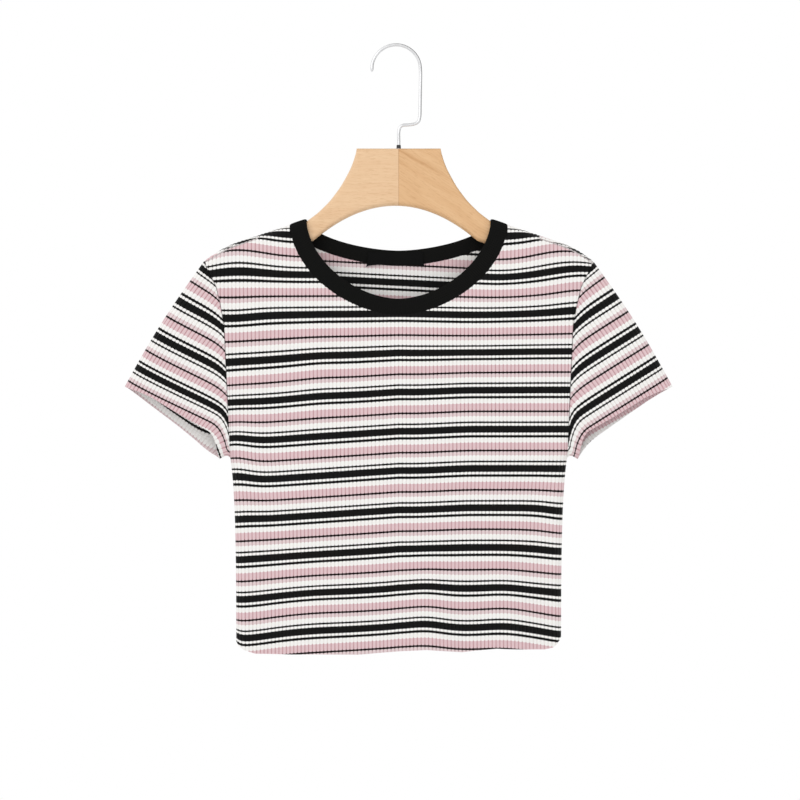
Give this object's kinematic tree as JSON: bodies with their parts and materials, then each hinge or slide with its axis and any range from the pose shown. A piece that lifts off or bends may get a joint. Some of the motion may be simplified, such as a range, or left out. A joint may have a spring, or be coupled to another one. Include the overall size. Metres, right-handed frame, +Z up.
{
  "type": "crop top on hanger",
  "caption": "Short-sleeved cropped rib-knit top with cross stripes and a round contrast neckband, hung on a wooden hanger with a wire hook.",
  "frame": {"origin": "inside top of the hook, where a rail holds it", "axes": "+Z up, +X to the right as seen from the front, the front of the top faces -Y"},
  "size_m": [0.4922, 0.0411, 0.5507],
  "materials": {
    "striped_rib": "matt rib knit with black, pink and white cross stripes",
    "black_rib": "matt fine rib knit",
    "label": "smooth woven satin",
    "beech_pale": "clear satin varnish",
    "beech_warm": "clear satin varnish",
    "chrome": "bright plated wire",
    "ferrule": "dark sleeve at the foot of the hook"
  },
  "bodies": {
    "root": {"front_panel": "striped_rib", "back_panel": "striped_rib", "sleeve_right": "striped_rib", "sleeve_left": "striped_rib", "neckband": "black_rib", "neck_label": "label", "hanger_arm_left": "beech_pale", "hanger_arm_right": "beech_warm", "hook": "chrome", "hook_ferrule": "ferrule"}
  },
  "joints": []
}
